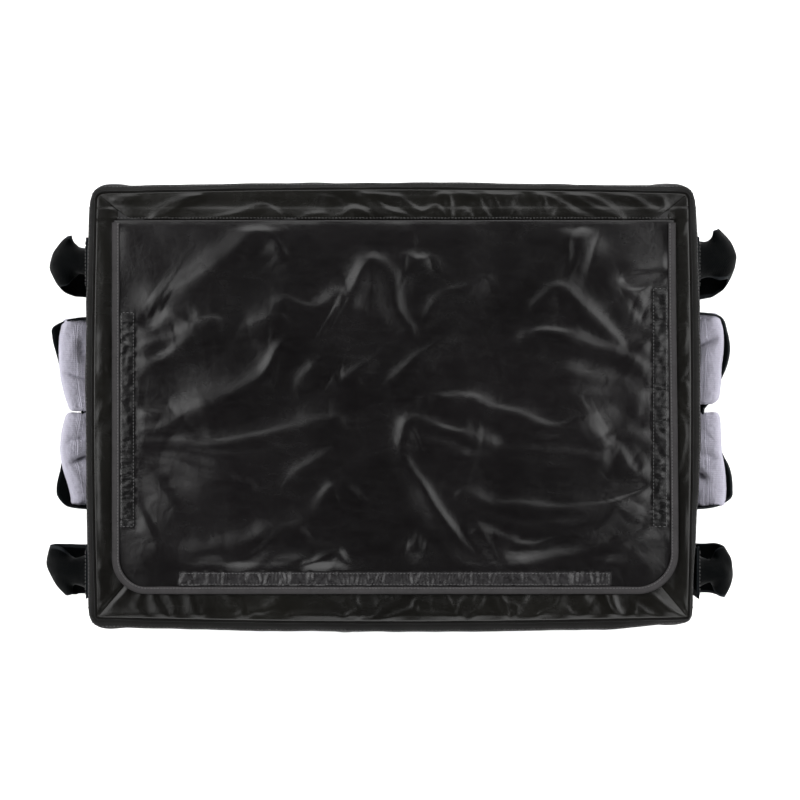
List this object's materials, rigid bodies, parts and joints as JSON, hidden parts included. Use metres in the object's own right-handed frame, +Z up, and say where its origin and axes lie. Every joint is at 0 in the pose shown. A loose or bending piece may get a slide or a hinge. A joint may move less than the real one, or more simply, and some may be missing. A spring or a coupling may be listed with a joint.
{
  "type": "insulated food carrier",
  "caption": "Soft top-loading insulated food carrier with a hinged hook-and-loop lid flap, foam walls, padded end handles and webbing lift loops.",
  "frame": {"origin": "centre of the footprint, on the floor that the straps under the base stand on", "axes": "+X along the length towards the right end, +Y towards the lid's hinge at the back, +Z up"},
  "size_m": [0.708, 0.4476, 0.286],
  "materials": {
    "coated_nylon": "black polyurethane-coated nylon, semi-gloss with soft creases",
    "lid_nylon": "black coated nylon, smooth and semi-gloss, wrinkled over foam",
    "webbing": "black woven polypropylene webbing, matt, with a ribbed weave",
    "edge_binding": "dark grey woven edge tape folded over the flap's edge",
    "seam_tape": "black woven seam tape",
    "knit_pad": "light grey knit over foam, matt and slightly fuzzy",
    "foam": "closed-cell insulating foam, matt",
    "board": "fluted plastic sheet",
    "liner": "silver-grey wipe-clean laminate",
    "hook_tape": "black hook tape",
    "loop_tape": "black brushed loop tape"
  },
  "bodies": {
    "root": {"base_board": "board", "foam_back": "foam", "foam_bottom": "foam", "foam_front": "foam", "foam_left": "foam", "foam_right": "foam", "handle_left_base": "webbing", "handle_right_base": "webbing", "hinge_strip": "seam_tape", "inner_liner": "liner", "lift_loop_back_left": "webbing", "lift_loop_back_right": "webbing", "lift_loop_front_left": "webbing", "lift_loop_front_right": "webbing", "load_strap_back": "webbing", "load_strap_front": "webbing", "mouth_binding": "seam_tape", "rim_back": "coated_nylon", "rim_foam_back": "foam", "rim_foam_front": "foam", "rim_foam_left": "foam", "rim_foam_right": "foam", "rim_front": "coated_nylon", "rim_left": "coated_nylon", "rim_liner": "liner", "rim_loop_tape_front": "loop_tape", "rim_loop_tape_left": "loop_tape", "rim_loop_tape_right": "loop_tape", "rim_right": "coated_nylon", "shell_back": "coated_nylon", "shell_bottom": "coated_nylon", "shell_front": "coated_nylon", "shell_left": "coated_nylon", "shell_right": "coated_nylon", "top_edge_piping": "coated_nylon"},
    "lid": {"lid_binding": "edge_binding", "lid_foam": "foam", "lid_hook_tape_front": "hook_tape", "lid_hook_tape_left": "hook_tape", "lid_hook_tape_right": "hook_tape", "lid_liner": "liner", "lid_outer": "lid_nylon"},
    "handle_left": {"handle_left_pad_back": "knit_pad", "handle_left_pad_front": "knit_pad", "handle_left_webbing": "webbing"},
    "handle_right": {"handle_right_pad_back": "knit_pad", "handle_right_pad_front": "knit_pad", "handle_right_webbing": "webbing"}
  },
  "joints": [
    {"name": "lid_hinge", "type": "hinge", "parent": "root", "child": "lid", "pos_m": [0, 0.1835, 0.2855], "axis": [-1, 0, 0], "range_deg": [0, 180]},
    {"name": "handle_left_swing", "type": "hinge", "parent": "root", "child": "handle_left", "pos_m": [-0.315, -0.007, 0.185], "axis": [0, 1, 0], "range_deg": [-20, 45]},
    {"name": "handle_right_swing", "type": "hinge", "parent": "root", "child": "handle_right", "pos_m": [0.315, -0.007, 0.185], "axis": [0, -1, 0], "range_deg": [-20, 45]}
  ]
}
